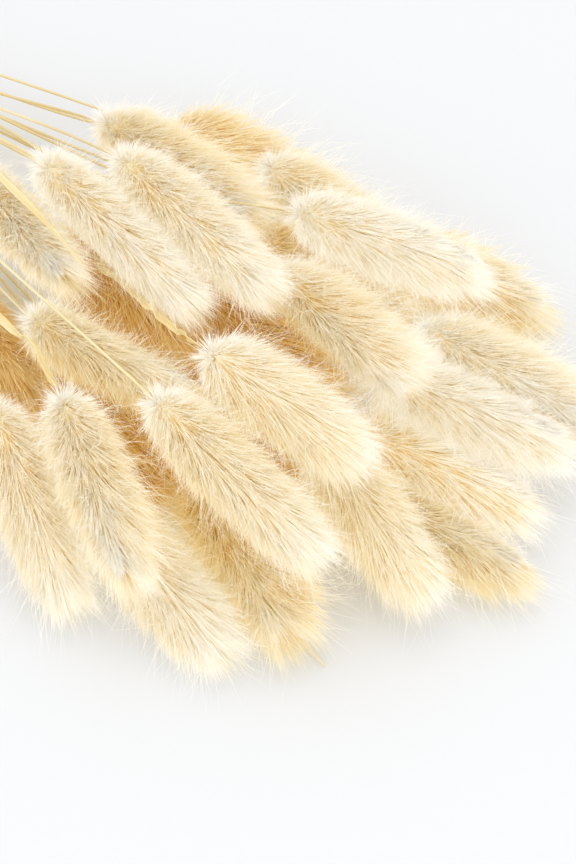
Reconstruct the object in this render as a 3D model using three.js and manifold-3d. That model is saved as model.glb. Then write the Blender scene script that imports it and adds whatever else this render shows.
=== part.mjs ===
// A tied bunch of dried bunny tail grass lying on a surface, in millimetres.
// +X runs from the cut stem ends to the heads, +Y across the bunch and +Z up.
// Each tail is a straw stem and a furry head, and twine ties the stems together.
import * as THREE from "three";
import { mergeVertices } from "three/addons/utils/BufferGeometryUtils.js";
import Module from "manifold-3d";

const wasm = await Module();
wasm.setup();

// Stems
const STEM_RADIUS = 0.7;
const STEM_SIDES = 5;
const STEM_CLEARANCE = 0.5;
const REAR_LENGTH = 180;
const REAR_LENGTH_SPREAD = 22;
const REAR_FAN = 2.3;
const REAR_LINKS = 5;
const FRONT_LINKS = 11;
const BUNDLED_SHARE = 0.22;
const HEAD_LEAD = 9;
const REAR_DROP = 4;

// Dry blades on some stems
const BLADE_THICKNESS = 0.7;
const BLADE_STEPS = 10;
const BLADE_FOOT = 0.35;
const BLADE_WIDEST = 0.7;
const BLADE_POINT = 0.75;
const BLADE_POINT_LATE = 5;

// Twine round the stems
const TWINE_RADIUS = 0.9;
const TWINE_SIDES = 6;
const TWINE_TURNS = 4;
const TWINE_PITCH = 2.1;
const TWINE_STEPS_A_TURN = 14;
const SLOT_PITCH = 1.95;
const TIE_HALF_LENGTH = 9;
const TIE_HEIGHT = 8.1;
const TIE_SIDE = 10;
const SLOT_REACH = 6;
const SLOT_AIM_ACROSS = 0.17;
const SLOT_AIM_UP = 0.45;
const TWINE_EASE = 0.35;
const KNOT_RISE = 0.9;
const KNOT_HALF = [4.9, 2.3, 1.9];
const KNOT_SIDES = 10;
const KNOT_RINGS = 7;
const END_STEPS = 9;

// The middle line of one twine end from the knot: along the stems, across and up.
const TWINE_END = [[1.5, 0.5, 0], [4.5, 4, 0.6], [8, 8.5, -1.6], [12.5, 11.5, -5]];

// Heads: spikelets stand out of a smaller core and lean towards the tip.
const HEAD_SIDES = 12;
const HEAD_RINGS = 14;
const CORE_SHARE = 0.86;
const SPIKELET_RISE = 2.4;
const SPIKELET_LEAN = 4.4;
const SPIKELET_EVERY = 3;
const SPIKELET_LEAST = 0.75;
const SPIKELET_VARIES = 0.5;
const FULL_GIRTH_SHARE = 0.4;
const LEAN_AT_BASE = 0.2;
const LEAN_GAIN = 3;
const HEAD_BOW = 1.4;
const HEAD_FULL_EARLY = 0.8;
const HEAD_BLUNT = 2.2;
const SEAT_GAP = 0.3;
const HEAD_GAP = 0.15;
const HEAD_CROWDING = 0.8;
const STEM_IN_FUR = 0.3;
const HEAD_REST = 0.32;

// How the tails settle against each other
const SETTLING_ROUNDS = 260;
const CLOSING_ROUNDS = 60;
const HEAD_WEIGHT = 0.35;
const PULL = 0.08;
const SMOOTHING = 0.2;
const TINY = 1e-6;

const STRAW = new THREE.MeshStandardMaterial({ color: 0xd9b878, roughness: 0.75, metalness: 0 });
const FUR = new THREE.MeshStandardMaterial({ color: 0xf5e8cb, roughness: 0.95, metalness: 0 });
const TWINE = new THREE.MeshStandardMaterial({ color: 0xb08a56, roughness: 0.9, metalness: 0 });

// Where each head lies before it settles: the middle of its base and its tip from
// the tie, with z above the surface, and its girth. Its stem passes through the
// places given, over and under the other tails.
const TAILS = [
  {
    name: "top_front", base: [172, -6, 34], tip: [218, -4, 26], girth: 15.6,
    through: [[106, -6.6, 28], [126, -6.7, 32.5], [150, -6.7, 34.5]],
  },
  {
    name: "top_middle", base: [170, 10, 32], tip: [210, 15, 28], girth: 18,
    through: [[125, 13, 19], [141, 12, 20], [162, 9.5, 28]],
  },
  {
    name: "near_front", base: [156, -16, 27], tip: [195, -26.5, 13], girth: 16,
    through: [[114, -11, 22], [132, -12, 25]],
  },
  { name: "top_rear", base: [121, 28.5, 33], tip: [171, 30.5, 30], girth: 15.5, through: [[85, 18, 24]] },
  {
    name: "top_rear_near", base: [111, 17, 32], tip: [162, 15, 29.5], girth: 15.5,
    through: [[84, 10, 27], [102, 13, 31]],
  },
  { name: "rear_near", base: [95, 9, 22], tip: [137, 7, 20], girth: 16 },
  { name: "rear_far", base: [102, 40, 19], tip: [146, 54, 17], girth: 17, through: [[70, 20, 13]] },
  { name: "rear_far_low", base: [106, 54, 8], tip: [146, 67, 8], girth: 16 },
  { name: "far_middle", base: [133, 58, 11], tip: [174, 67, 9], girth: 15, through: [[108, 44, 4]] },
  { name: "far_edge", base: [140, 49, 6], tip: [182, 57, 5], girth: 14, through: [[112, 40, 6]] },
  {
    name: "top_far", base: [154, 47.5, 26], tip: [194, 60.5, 21], girth: 16.5,
    through: [[105, 29, 8], [127, 37, 9], [142, 42, 18]],
  },
  { name: "top_centre", base: [160, 35.5, 22], tip: [204, 38, 27], girth: 17, through: [[128, 31, 9]] },
  { name: "under_centre", base: [147, 25, 13], tip: [187, 30, 12.5], girth: 16.5, through: [[120, 22, 6]] },
  {
    name: "front_centre", base: [189, 35, 14], tip: [229, 50, 12], girth: 17.5,
    through: [[130, 22, 5], [165, 27, 4], [180, 31, 8]],
  },
  {
    name: "front_centre_low", base: [193, 31, 7], tip: [231, 40, 6], girth: 16,
    through: [[130, 23, 4], [170, 25, 3]],
  },
  {
    name: "front_far", base: [186, 54, 17], tip: [227, 67, 9], girth: 17,
    through: [[130, 34, 12], [165, 46, 17]],
  },
  { name: "far_low", base: [162, 66, 7], tip: [201, 77, 5], girth: 15, through: [[120, 42, 4]] },
  {
    name: "front_near", base: [193, 20, 18], tip: [233, 11, 9], girth: 17.6,
    through: [[130, 17, 9], [172, 16, 12]],
  },
  {
    name: "front_edge", base: [201, 27, 6], tip: [241, 28.5, 5.5], girth: 15,
    through: [[130, 24, 3], [172, 24, 3]],
  },
  {
    name: "low_near_front", base: [172, -15, 7.5], tip: [212, -25, 5.5], girth: 17,
    through: [[128, 1, 6]],
  },
  {
    name: "near_edge", base: [141, -19, 10.5], tip: [185, -38, 5.5], girth: 17,
    through: [[120, -12, 16], [133, -14.5, 14]],
  },
  {
    name: "low_front", base: [177, -6, 6.5], tip: [220, -11, 5], girth: 17.5,
    through: [[130, 3, 4], [165, 2, 4]],
  },
  { name: "near_rear", base: [134, -4, 21], tip: [174, 0, 18.5], girth: 17, through: [[100, -1, 17]] },
  { name: "low_near_rear", base: [105, -8, 7], tip: [149, -14, 5], girth: 15 },
  { name: "low_rear", base: [117, 16, 10], tip: [158, 14, 13], girth: 17, through: [[90, 12, 5]] },
  { name: "low_middle", base: [156, 12, 11], tip: [193, 9, 7], girth: 14, through: [[125, 4, 5]] },
  {
    name: "low_near_middle", base: [143, -5, 8], tip: [182, -9.5, 8], girth: 16,
    through: [[125, 1, 9]],
  },
];

// Dry leaf blades and a sheath that stayed on the stems. Each grows from the bead of
// its stem nearest to the root and runs through the places given.
const BLADES = [
  {
    tail: "top_rear_near", root: [84, 10, 27], width: 1.7, turn: 0.1,
    through: [[98, 8.5, 32.5], [111, 7.1, 34], [126, 6.4, 33.8], [137.5, 5.9, 32]],
  },
  {
    tail: "top_middle", root: [125, 13, 19], width: 3, turn: 0.55,
    through: [[133, 12.5, 23], [145, 9.1, 25.5], [154, 6.4, 26], [166.5, 6.2, 26.5]],
  },
  {
    tail: "near_front", root: [114, -11, 22], width: 2, turn: 0.15,
    through: [[124, -12, 24.4], [134, -13, 26.2], [144, -14.6, 27.8]],
  },
  {
    tail: "low_front", root: [165, 2, 4], width: 2.4, turn: 0,
    through: [[180, -4, 1.3], [198, -7, 1], [213, -9, 0.9], [226, -9.7, 0.9]],
  },
];

const vector = (xyz) => new THREE.Vector3(...xyz);

// A seeded source of even random numbers from 0 to 1.
function seeded(seed) {
  let state = seed;
  return () => {
    state = (state * 1664525 + 1013904223) % 4294967296;
    return state / 4294967296;
  };
}

// Places for the stems inside the twine, packed like pencils, the middle first.
function tieSlots(count) {
  const slots = [];
  for (let row = -SLOT_REACH; row <= SLOT_REACH; row++) {
    for (let column = -SLOT_REACH; column <= SLOT_REACH; column++) {
      const y = (column + row / 2) * SLOT_PITCH;
      const z = (row * SLOT_PITCH * Math.sqrt(3)) / 2;
      slots.push(new THREE.Vector3(0, y, z));
    }
  }
  slots.sort((one, other) => one.length() - other.length() || one.y - other.y || one.z - other.z);
  return slots.slice(0, count);
}

// Gives each tail the free slot nearest to the side on which its head lies.
function shareSlots(tails, slots) {
  const aim = (tail) => tail.through[0] ?? tail.base;
  const middle = tails.reduce((sum, tail) => sum.add(aim(tail)), new THREE.Vector3());
  middle.divideScalar(tails.length);
  const free = [...slots];
  const side = (tail) => {
    const offset = aim(tail).clone().sub(middle);
    return new THREE.Vector3(0, offset.y * SLOT_AIM_ACROSS, offset.z * SLOT_AIM_UP);
  };
  const outward = [...tails].sort((one, other) => side(other).length() - side(one).length());
  for (const tail of outward) {
    const wanted = side(tail);
    free.sort((one, other) => one.distanceTo(wanted) - other.distanceTo(wanted));
    tail.slot = free.shift();
  }
}

// The beads of one tail: cut end, rear stem, tie, front stem, head base, head tip.
function stringBeads(tail, random) {
  const rear = REAR_LENGTH + (random() - 0.5) * 2 * REAR_LENGTH_SPREAD;
  const cutHeight = Math.max(TIE_HEIGHT - REAR_DROP + tail.slot.z * REAR_FAN, STEM_RADIUS);
  const cutEnd = new THREE.Vector3(-rear, TIE_SIDE + tail.slot.y * REAR_FAN, cutHeight);
  const atTie = (x) => new THREE.Vector3(x, TIE_SIDE + tail.slot.y, TIE_HEIGHT + tail.slot.z);
  const tieRear = atTie(-TIE_HALF_LENGTH);
  const tieFront = atTie(TIE_HALF_LENGTH);
  const aim = tail.through[0] ?? tail.base;
  const axis = tail.tip.clone().sub(tail.base).normalize();
  const front = new THREE.CatmullRomCurve3([
    tieFront,
    tieFront.clone().add(new THREE.Vector3(BUNDLED_SHARE * aim.x, 0, 0)),
    ...tail.through,
    tail.base.clone().addScaledVector(axis, -HEAD_LEAD),
    tail.base,
  ], false, "centripetal");
  const back = new THREE.LineCurve3(cutEnd, tieRear);
  const stem = [...back.getPoints(REAR_LINKS), ...front.getSpacedPoints(FRONT_LINKS)];
  tail.beads = [...stem, tail.tip.clone()];
  tail.passes = tail.through.map((place) => {
    const gaps = stem.map((bead) => bead.distanceTo(place));
    return { bead: gaps.indexOf(Math.min(...gaps)), place };
  });
  tail.baseBead = tail.beads.length - 2;
  tail.weights = tail.beads.map((bead, k) => {
    if (k === REAR_LINKS || k === REAR_LINKS + 1) return 0;
    return k >= tail.baseBead ? HEAD_WEIGHT : 1;
  });
  tail.length = tail.base.distanceTo(tail.tip);
}

// The nearest points of segments ab and cd, as shares s and t along them.
function nearest(a, b, c, d) {
  const u = b.clone().sub(a);
  const v = d.clone().sub(c);
  const w = a.clone().sub(c);
  const uu = u.dot(u);
  const vv = v.dot(v);
  const uv = u.dot(v);
  const uw = u.dot(w);
  const vw = v.dot(w);
  const spread = uu * vv - uv * uv;
  const clamp = THREE.MathUtils.clamp;
  let s = spread > TINY ** 2 ? clamp((uv * vw - vv * uw) / spread, 0, 1) : 0.5;
  const t = clamp((uv * s + vw) / vv, 0, 1);
  s = clamp((uv * t - uw) / uu, 0, 1);
  const from = a.clone().addScaledVector(u, s);
  const to = c.clone().addScaledVector(v, t);
  return { s, t, from, to, distance: from.distanceTo(to) };
}

const isHead = (link) => link.k === link.tail.baseBead;

function neededDistance(one, other) {
  if (isHead(one) && isHead(other)) return (HEAD_CROWDING * (one.tail.girth + other.tail.girth)) / 2;
  if (isHead(one)) return STEM_IN_FUR * one.tail.girth + STEM_RADIUS + STEM_CLEARANCE;
  if (isHead(other)) return neededDistance(other, one);
  return 2 * STEM_RADIUS + STEM_CLEARANCE;
}

// Moves two links apart when they are nearer than fur and straw allow.
function partLinks(one, other) {
  const [a, b] = [one.tail.beads[one.k], one.tail.beads[one.k + 1]];
  const [c, d] = [other.tail.beads[other.k], other.tail.beads[other.k + 1]];
  const needed = neededDistance(one, other);
  const reach = (a.distanceTo(b) + c.distanceTo(d)) / 2 + needed;
  const apart = Math.hypot(a.x + b.x - c.x - d.x, a.y + b.y - c.y - d.y, a.z + b.z - c.z - d.z) / 2;
  if (apart > reach) return;
  const { s, t, from, to, distance } = nearest(a, b, c, d);
  if (distance >= needed) return;
  const away = to.sub(from).divideScalar(Math.max(distance, TINY));
  const shares = [
    [a, -(1 - s), one.tail.weights[one.k]],
    [b, -s, one.tail.weights[one.k + 1]],
    [c, 1 - t, other.tail.weights[other.k]],
    [d, t, other.tail.weights[other.k + 1]],
  ];
  const total = shares.reduce((sum, [, share, weight]) => sum + weight * share * share, 0);
  if (total < TINY) return;
  for (const [bead, share, weight] of shares) {
    bead.addScaledVector(away, ((needed - distance) * share * weight) / total);
  }
}

function pullToPlace(tail) {
  tail.beads[tail.baseBead].lerp(tail.base, PULL);
  tail.beads[tail.baseBead + 1].lerp(tail.tip, PULL);
  for (const { bead, place } of tail.passes) tail.beads[bead].lerp(place, PULL);
}

// Evens out the stem, and leads it straight out of the tie and straight into the head.
function smoothStem(tail) {
  const { beads, baseBead } = tail;
  for (let k = 1; k < baseBead; k++) {
    if (tail.weights[k] === 0) continue;
    const middle = beads[k - 1].clone().add(beads[k + 1]).multiplyScalar(0.5);
    beads[k].lerp(middle, SMOOTHING);
  }
  const axis = beads[baseBead + 1].clone().sub(beads[baseBead]).normalize();
  const step = beads[baseBead].distanceTo(beads[baseBead - 1]);
  const intoHead = beads[baseBead].clone().addScaledVector(axis, -step);
  beads[baseBead - 1].lerp(intoHead, SMOOTHING);
  const tieFront = beads[REAR_LINKS + 1];
  const outOfTie = tieFront.clone().add(new THREE.Vector3(step, 0, 0));
  beads[REAR_LINKS + 2].lerp(outOfTie, SMOOTHING);
}

function keepHeadLength(tail) {
  const base = tail.beads[tail.baseBead];
  const tip = tail.beads[tail.baseBead + 1];
  const along = tip.clone().sub(base);
  const stretch = (along.length() - tail.length) / 2;
  along.normalize();
  base.addScaledVector(along, stretch);
  tip.addScaledVector(along, -stretch);
}

function keepAboveSurface(tail) {
  tail.beads.forEach((bead, k) => {
    const lowest = k >= tail.baseBead ? HEAD_REST * tail.girth : STEM_RADIUS;
    bead.z = Math.max(bead.z, lowest);
  });
}

function settle(tails) {
  const links = tails.flatMap((tail) => tail.beads.slice(1).map((bead, k) => ({ tail, k })));
  for (let round = 0; round < SETTLING_ROUNDS + CLOSING_ROUNDS; round++) {
    if (round < SETTLING_ROUNDS) tails.forEach(pullToPlace);
    if (round < SETTLING_ROUNDS) tails.forEach(smoothStem);
    for (let i = 0; i < links.length; i++) {
      for (let j = i + 1; j < links.length; j++) {
        if (links[i].tail !== links[j].tail) partLinks(links[i], links[j]);
      }
    }
    tails.forEach(keepHeadLength);
    tails.forEach(keepAboveSurface);
  }
}

// A path that is stepped from bead to bead.
class BeadPath extends THREE.CatmullRomCurve3 {
  getUtoTmapping(u) {
    return u;
  }
}

function headAxis(tail) {
  const base = tail.beads[tail.baseBead];
  const tip = tail.beads[tail.baseBead + 1];
  return tip.clone().sub(base).normalize();
}

function stemPoints(tail) {
  const points = tail.beads.slice(0, tail.baseBead + 1).map((bead) => bead.clone());
  points[tail.baseBead].addScaledVector(headAxis(tail), -SEAT_GAP);
  return points;
}

function tube(points, radius, sides, steps) {
  const corners = [];
  for (let k = 0; k < sides; k++) {
    const angle = (k / sides) * 2 * Math.PI;
    corners.push(new THREE.Vector2(radius * Math.cos(angle), radius * Math.sin(angle)));
  }
  const section = new THREE.Shape(corners);
  return new THREE.ExtrudeGeometry(section, { steps, extrudePath: new BeadPath(points) });
}

function bladePath(blade, tails) {
  const tail = tails.find(({ name }) => name === blade.tail);
  const stem = tail.beads.slice(0, tail.baseBead);
  const gaps = stem.map((bead) => bead.distanceTo(vector(blade.root)));
  const root = stem[gaps.indexOf(Math.min(...gaps))];
  return new THREE.CatmullRomCurve3([root, ...blade.through.map(vector)], false, "centripetal");
}

// Breadth along a blade as a share of its widest: lance shaped, from a narrow foot.
function lance(t) {
  const swell = Math.sin(Math.PI * t ** BLADE_WIDEST);
  return (BLADE_FOOT + (1 - BLADE_FOOT) * swell) * (1 - BLADE_POINT * t ** BLADE_POINT_LATE);
}

// A flat bar bent along its path, turned slowly round it and drawn to a point.
function bladeGeometry(blade, path) {
  const geometry = new THREE.BoxGeometry(1, 1, 1, BLADE_STEPS, 1, 1);
  const position = geometry.attributes.position;
  for (let index = 0; index < position.count; index++) {
    const t = position.getX(index) + 0.5;
    const centre = path.getPointAt(t);
    const along = path.getTangentAt(t);
    const flat = along.clone().cross(new THREE.Vector3(0, 0, 1)).normalize();
    flat.applyAxisAngle(along, blade.turn * 2 * Math.PI * t);
    const upright = along.clone().cross(flat);
    centre.addScaledVector(flat, position.getY(index) * blade.width * lance(t));
    centre.addScaledVector(upright, position.getZ(index) * BLADE_THICKNESS);
    position.setXYZ(index, centre.x, centre.y, centre.z);
  }
  return geometry;
}

// A fence is a plane that a head's fur doesn't cross: it lies between the head's axis
// and a neighbour, so each flattens where the two press together.
function fencesOf(tail, tails, blades) {
  const base = tail.beads[tail.baseBead];
  const tip = tail.beads[tail.baseBead + 1];
  const fences = [{ normal: new THREE.Vector3(0, 0, -1), limit: 0 }];
  const raise = (c, d, share, gap) => {
    const { from, to, distance } = nearest(base, tip, c, d);
    if (distance > tail.girth + SPIKELET_LEAN) return;
    const normal = to.clone().sub(from).normalize();
    fences.push({ normal, limit: from.dot(normal) + distance * share - gap });
  };
  for (const other of tails) {
    if (other === tail) continue;
    const share = tail.girth / (tail.girth + other.girth);
    raise(other.beads[other.baseBead], other.beads[other.baseBead + 1], share, HEAD_GAP);
    const points = stemPoints(other);
    for (let k = 1; k < points.length; k++) {
      raise(points[k - 1], points[k], 1, STEM_RADIUS + SEAT_GAP);
    }
  }
  for (const { width, path } of blades) {
    const points = path.getSpacedPoints(BLADE_STEPS);
    for (let k = 1; k < points.length; k++) {
      raise(points[k - 1], points[k], 1, width / 2 + SEAT_GAP);
    }
  }
  return fences;
}

// Girth along a head as a share of its widest, full near the base and blunt at the tip.
function spindle(t) {
  const off = Math.abs(2 * t ** HEAD_FULL_EARLY - 1);
  return Math.sqrt(Math.max(1 - off ** HEAD_BLUNT, 0));
}

function headProfile(tail) {
  const points = [];
  for (let ring = 0; ring <= HEAD_RINGS; ring++) {
    const t = ring / HEAD_RINGS;
    const radius = ring === HEAD_RINGS ? 0 : (tail.girth / 2) * spindle(t);
    points.push(new THREE.Vector2(radius, t * tail.length));
  }
  return points;
}

// How much of a step from a place stays inside the fences, from 0 to 1.
function shareInside(fences, place, step) {
  let share = 1;
  for (const { normal, limit } of fences) {
    const outwards = step.dot(normal);
    const room = Math.max(limit - place.dot(normal), 0);
    if (outwards > room) share = Math.min(share, room / outwards);
  }
  return share;
}

// Some points of the turned lattice are the tips of spikelets.
function headGeometry(tail, fences, random) {
  const profile = headProfile(tail);
  const geometry = new THREE.LatheGeometry(profile, HEAD_SIDES);
  const base = tail.beads[tail.baseBead];
  const tip = tail.beads[tail.baseBead + 1];
  const bowed = base.clone().lerp(tip, 0.5).add(new THREE.Vector3(0, 0, HEAD_BOW));
  const spine = new THREE.QuadraticBezierCurve3(base, bowed, tip);
  const growth = profile.map(() => Array.from({ length: HEAD_SIDES }, () => (
    SPIKELET_LEAST + SPIKELET_VARIES * random()
  )));
  const position = geometry.attributes.position;
  for (let index = 0; index < position.count; index++) {
    const ring = index % profile.length;
    const side = Math.floor(index / profile.length) % HEAD_SIDES;
    const t = ring / HEAD_RINGS;
    const centre = spine.getPoint(t);
    const along = spine.getTangent(t);
    const across = new THREE.Vector3(0, 0, 1).cross(along).normalize();
    const upward = along.clone().cross(across);
    const angle = ((side + ring / 2) / HEAD_SIDES) * 2 * Math.PI;
    const outward = across.multiplyScalar(Math.cos(angle)).addScaledVector(upward, Math.sin(angle));
    const core = outward.clone().multiplyScalar(CORE_SHARE * profile[ring].x);
    const point = centre.clone().addScaledVector(core, shareInside(fences, centre, core));
    if ((side + 2 * ring) % SPIKELET_EVERY === 0 && profile[ring].x > 0) {
      const plump = Math.min(1, profile[ring].x / (FULL_GIRTH_SHARE * tail.girth));
      const fullness = growth[ring][side] * plump;
      const lean = SPIKELET_LEAN * Math.min(1, LEAN_AT_BASE + LEAN_GAIN * t);
      const spikelet = outward.multiplyScalar(SPIKELET_RISE * fullness);
      spikelet.addScaledVector(along, lean * fullness);
      point.addScaledVector(spikelet, shareInside(fences, point, spikelet));
    }
    position.setXYZ(index, point.x, point.y, point.z);
  }
  return geometry;
}

// A closed mesh as a solid, for joining pieces.
function solidOf(geometry) {
  const bare = new THREE.BufferGeometry();
  bare.setAttribute("position", geometry.attributes.position.clone());
  if (geometry.index) bare.setIndex(geometry.index.clone());
  const merged = mergeVertices(bare, 1e-4);
  const corners = merged.index.array;
  const kept = [];
  for (let k = 0; k < corners.length; k += 3) {
    const [a, b, c] = [corners[k], corners[k + 1], corners[k + 2]];
    if (a !== b && b !== c && c !== a) kept.push(a, b, c);
  }
  return new wasm.Manifold(new wasm.Mesh({
    numProp: 3,
    vertProperties: new Float32Array(merged.attributes.position.array),
    triVerts: new Uint32Array(kept),
  }));
}

function geometryOf(solid) {
  const mesh = solid.getMesh();
  const geometry = new THREE.BufferGeometry();
  geometry.setAttribute("position", new THREE.BufferAttribute(mesh.vertProperties, 3));
  geometry.setIndex(new THREE.BufferAttribute(mesh.triVerts, 1));
  return geometry;
}

// Twine wound round the stems, tied above them in a small knot with two short ends.
function tieGeometry(bundleRadius) {
  const radius = bundleRadius + STEM_RADIUS + TWINE_EASE + TWINE_RADIUS;
  const steps = TWINE_TURNS * TWINE_STEPS_A_TURN;
  const winding = [];
  for (let k = 0; k <= steps; k++) {
    const turn = k / TWINE_STEPS_A_TURN;
    const angle = turn * 2 * Math.PI;
    const x = (turn - TWINE_TURNS / 2) * TWINE_PITCH;
    winding.push(new THREE.Vector3(x, radius * Math.sin(angle), radius * Math.cos(angle)));
  }
  const wound = solidOf(tube(winding, TWINE_RADIUS, TWINE_SIDES, steps));
  const top = radius + KNOT_RISE;
  const knot = new THREE.SphereGeometry(1, KNOT_SIDES, KNOT_RINGS);
  knot.scale(...KNOT_HALF);
  knot.translate(0, 0, top);
  const ends = [-1, 1].map((side) => {
    const route = TWINE_END.map(([x, y, z]) => new THREE.Vector3(side * x, side * y, top + z));
    return solidOf(tube(route, TWINE_RADIUS, TWINE_SIDES, END_STEPS));
  });
  return geometryOf(wound.add(solidOf(knot)).add(ends[0]).add(ends[1]));
}

const bunch = new THREE.Group();

function addPiece(name, geometry, material) {
  const piece = new THREE.Mesh(geometry, material);
  piece.name = name;
  bunch.add(piece);
  return piece;
}

const random = seeded(20);
const tails = TAILS.map((tail) => ({
  ...tail,
  base: vector(tail.base),
  tip: vector(tail.tip),
  through: (tail.through ?? []).map(vector),
}));
const slots = tieSlots(tails.length);
shareSlots(tails, slots);
tails.forEach((tail) => stringBeads(tail, random));
settle(tails);

const blades = BLADES.map((blade) => ({ ...blade, path: bladePath(blade, tails) }));

function stemGeometry(tail) {
  const points = stemPoints(tail);
  const stem = tube(points, STEM_RADIUS, STEM_SIDES, points.length - 1);
  const own = blades.filter((blade) => blade.tail === tail.name);
  if (own.length === 0) return stem;
  const grown = own.map((blade) => solidOf(bladeGeometry(blade, blade.path)));
  return geometryOf(grown.reduce((solid, blade) => solid.add(blade), solidOf(stem)));
}

for (const tail of tails) {
  addPiece(`stem_${tail.name}`, stemGeometry(tail), STRAW);
  addPiece(`head_${tail.name}`, headGeometry(tail, fencesOf(tail, tails, blades), random), FUR);
}
const bundleRadius = Math.max(...slots.map((slot) => slot.length()));
addPiece("tie", tieGeometry(bundleRadius), TWINE).position.set(0, TIE_SIDE, TIE_HEIGHT);

// The origin is under the middle of the bunch, on the surface that it lies on.
const box = new THREE.Box3().setFromObject(bunch, true);
const middle = box.getCenter(new THREE.Vector3());
bunch.position.set(-middle.x, -middle.y, -box.min.z);
bunch.updateMatrixWorld(true);

export default bunch;
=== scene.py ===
"""A bunch of dried bunny tail grass: soft heads on straw stems, tied with twine.

Lengths are in metres. The tails run along +X from their cut ends to their heads.
"""
import math

import bpy
import numpy as np
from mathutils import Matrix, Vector
from mathutils.bvhtree import BVHTree


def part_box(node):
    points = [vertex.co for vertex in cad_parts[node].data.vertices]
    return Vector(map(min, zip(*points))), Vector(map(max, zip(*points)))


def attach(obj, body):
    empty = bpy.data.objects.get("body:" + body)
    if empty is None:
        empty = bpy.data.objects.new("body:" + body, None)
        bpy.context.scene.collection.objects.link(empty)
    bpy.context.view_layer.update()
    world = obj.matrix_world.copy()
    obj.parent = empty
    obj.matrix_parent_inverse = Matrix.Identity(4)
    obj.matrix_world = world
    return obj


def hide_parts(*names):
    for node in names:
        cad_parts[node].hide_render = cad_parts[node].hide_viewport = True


MM = 0.001
WHOLE_TURN = 2 * math.pi
UP = np.array((0.0, 0.0, 1.0))

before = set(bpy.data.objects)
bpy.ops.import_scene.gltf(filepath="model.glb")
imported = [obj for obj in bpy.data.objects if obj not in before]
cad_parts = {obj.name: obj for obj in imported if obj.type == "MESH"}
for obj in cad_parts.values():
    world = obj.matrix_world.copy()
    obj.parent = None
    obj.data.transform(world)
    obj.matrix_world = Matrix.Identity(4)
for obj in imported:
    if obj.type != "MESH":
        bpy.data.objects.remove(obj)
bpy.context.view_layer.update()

HEADS = sorted(n.removeprefix("head_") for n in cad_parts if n.startswith("head_"))
# Low heads, mostly hidden under the others: fewer hairs, each of them thicker.
SHELTERED = {
    "under_centre", "low_near_middle", "low_middle", "low_near_rear", "low_rear",
    "rear_far_low", "far_edge", "far_low", "front_centre_low",
}
# Low heads that show as golden fur, deep in the gaps between the upper ones; their darker golden
# colour is painted shade.
GOLDEN = {"under_centre", "low_near_middle", "low_middle", "low_rear", "low_near_rear"}
# Heads with long hairs round the base, which fill a gap in the bunch.
LONG_BASES = {"low_near_front", "front_centre_low", "front_centre"}
# Heads whose fur reaches further than usual, as a share of the solid's girth.
FULLNESS = {
    "low_front": 1.75, "low_near_front": 1.4, "under_centre": 2.2, "low_near_middle": 2.1,
}
# How pale a head's fur is, from 0 for golden to 1 for nearly white: partly each head's own colour,
# partly painted shade, with heads that lie low or in shade set more golden.
PALENESS = {
    "top_front": 0.48, "top_middle": 0.54, "near_front": 0.48, "top_rear": 0.66,
    "top_rear_near": 0.78, "rear_near": 0.54, "top_far": 1.0, "top_centre": 0.56,
    "front_near": 0.48, "front_centre": 0.9, "front_centre_low": 0.84, "front_far": 0.62,
    "near_rear": 0.32, "low_front": 0.22, "low_near_front": 0.66, "near_edge": 0.58,
    "low_middle": 0.12, "low_near_middle": 0.12, "under_centre": 0.14, "front_edge": 0.26,
    "far_low": 0.42, "far_middle": 0.48, "rear_far": 0.46, "rear_far_low": 0.44,
}
PALENESS_ELSEWHERE = 0.3
# Tails that keep a dry leaf on the stem.
LEAVED = ("top_rear_near", "top_middle", "near_front", "low_front")


# Finishes

MIX_SHARE, MIX_FIRST, MIX_SECOND, MIX_COLOUR = 0, 6, 7, 2  # a Mix node's colour sockets


class Value:
    """What a node gives. Sums on it make further nodes."""

    def __init__(self, finish, socket):
        self.finish = finish
        self.socket = socket

    def worked(self, operation, *values):
        inputs = dict(enumerate(values))
        return self.finish.add("ShaderNodeMath", {"operation": operation}, inputs)

    def __add__(self, other):
        return self.worked("ADD", self, other)

    def __radd__(self, other):
        return self.worked("ADD", other, self)

    def __mul__(self, other):
        return self.worked("MULTIPLY", self, other)

    def __rmul__(self, other):
        return self.worked("MULTIPLY", other, self)


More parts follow.
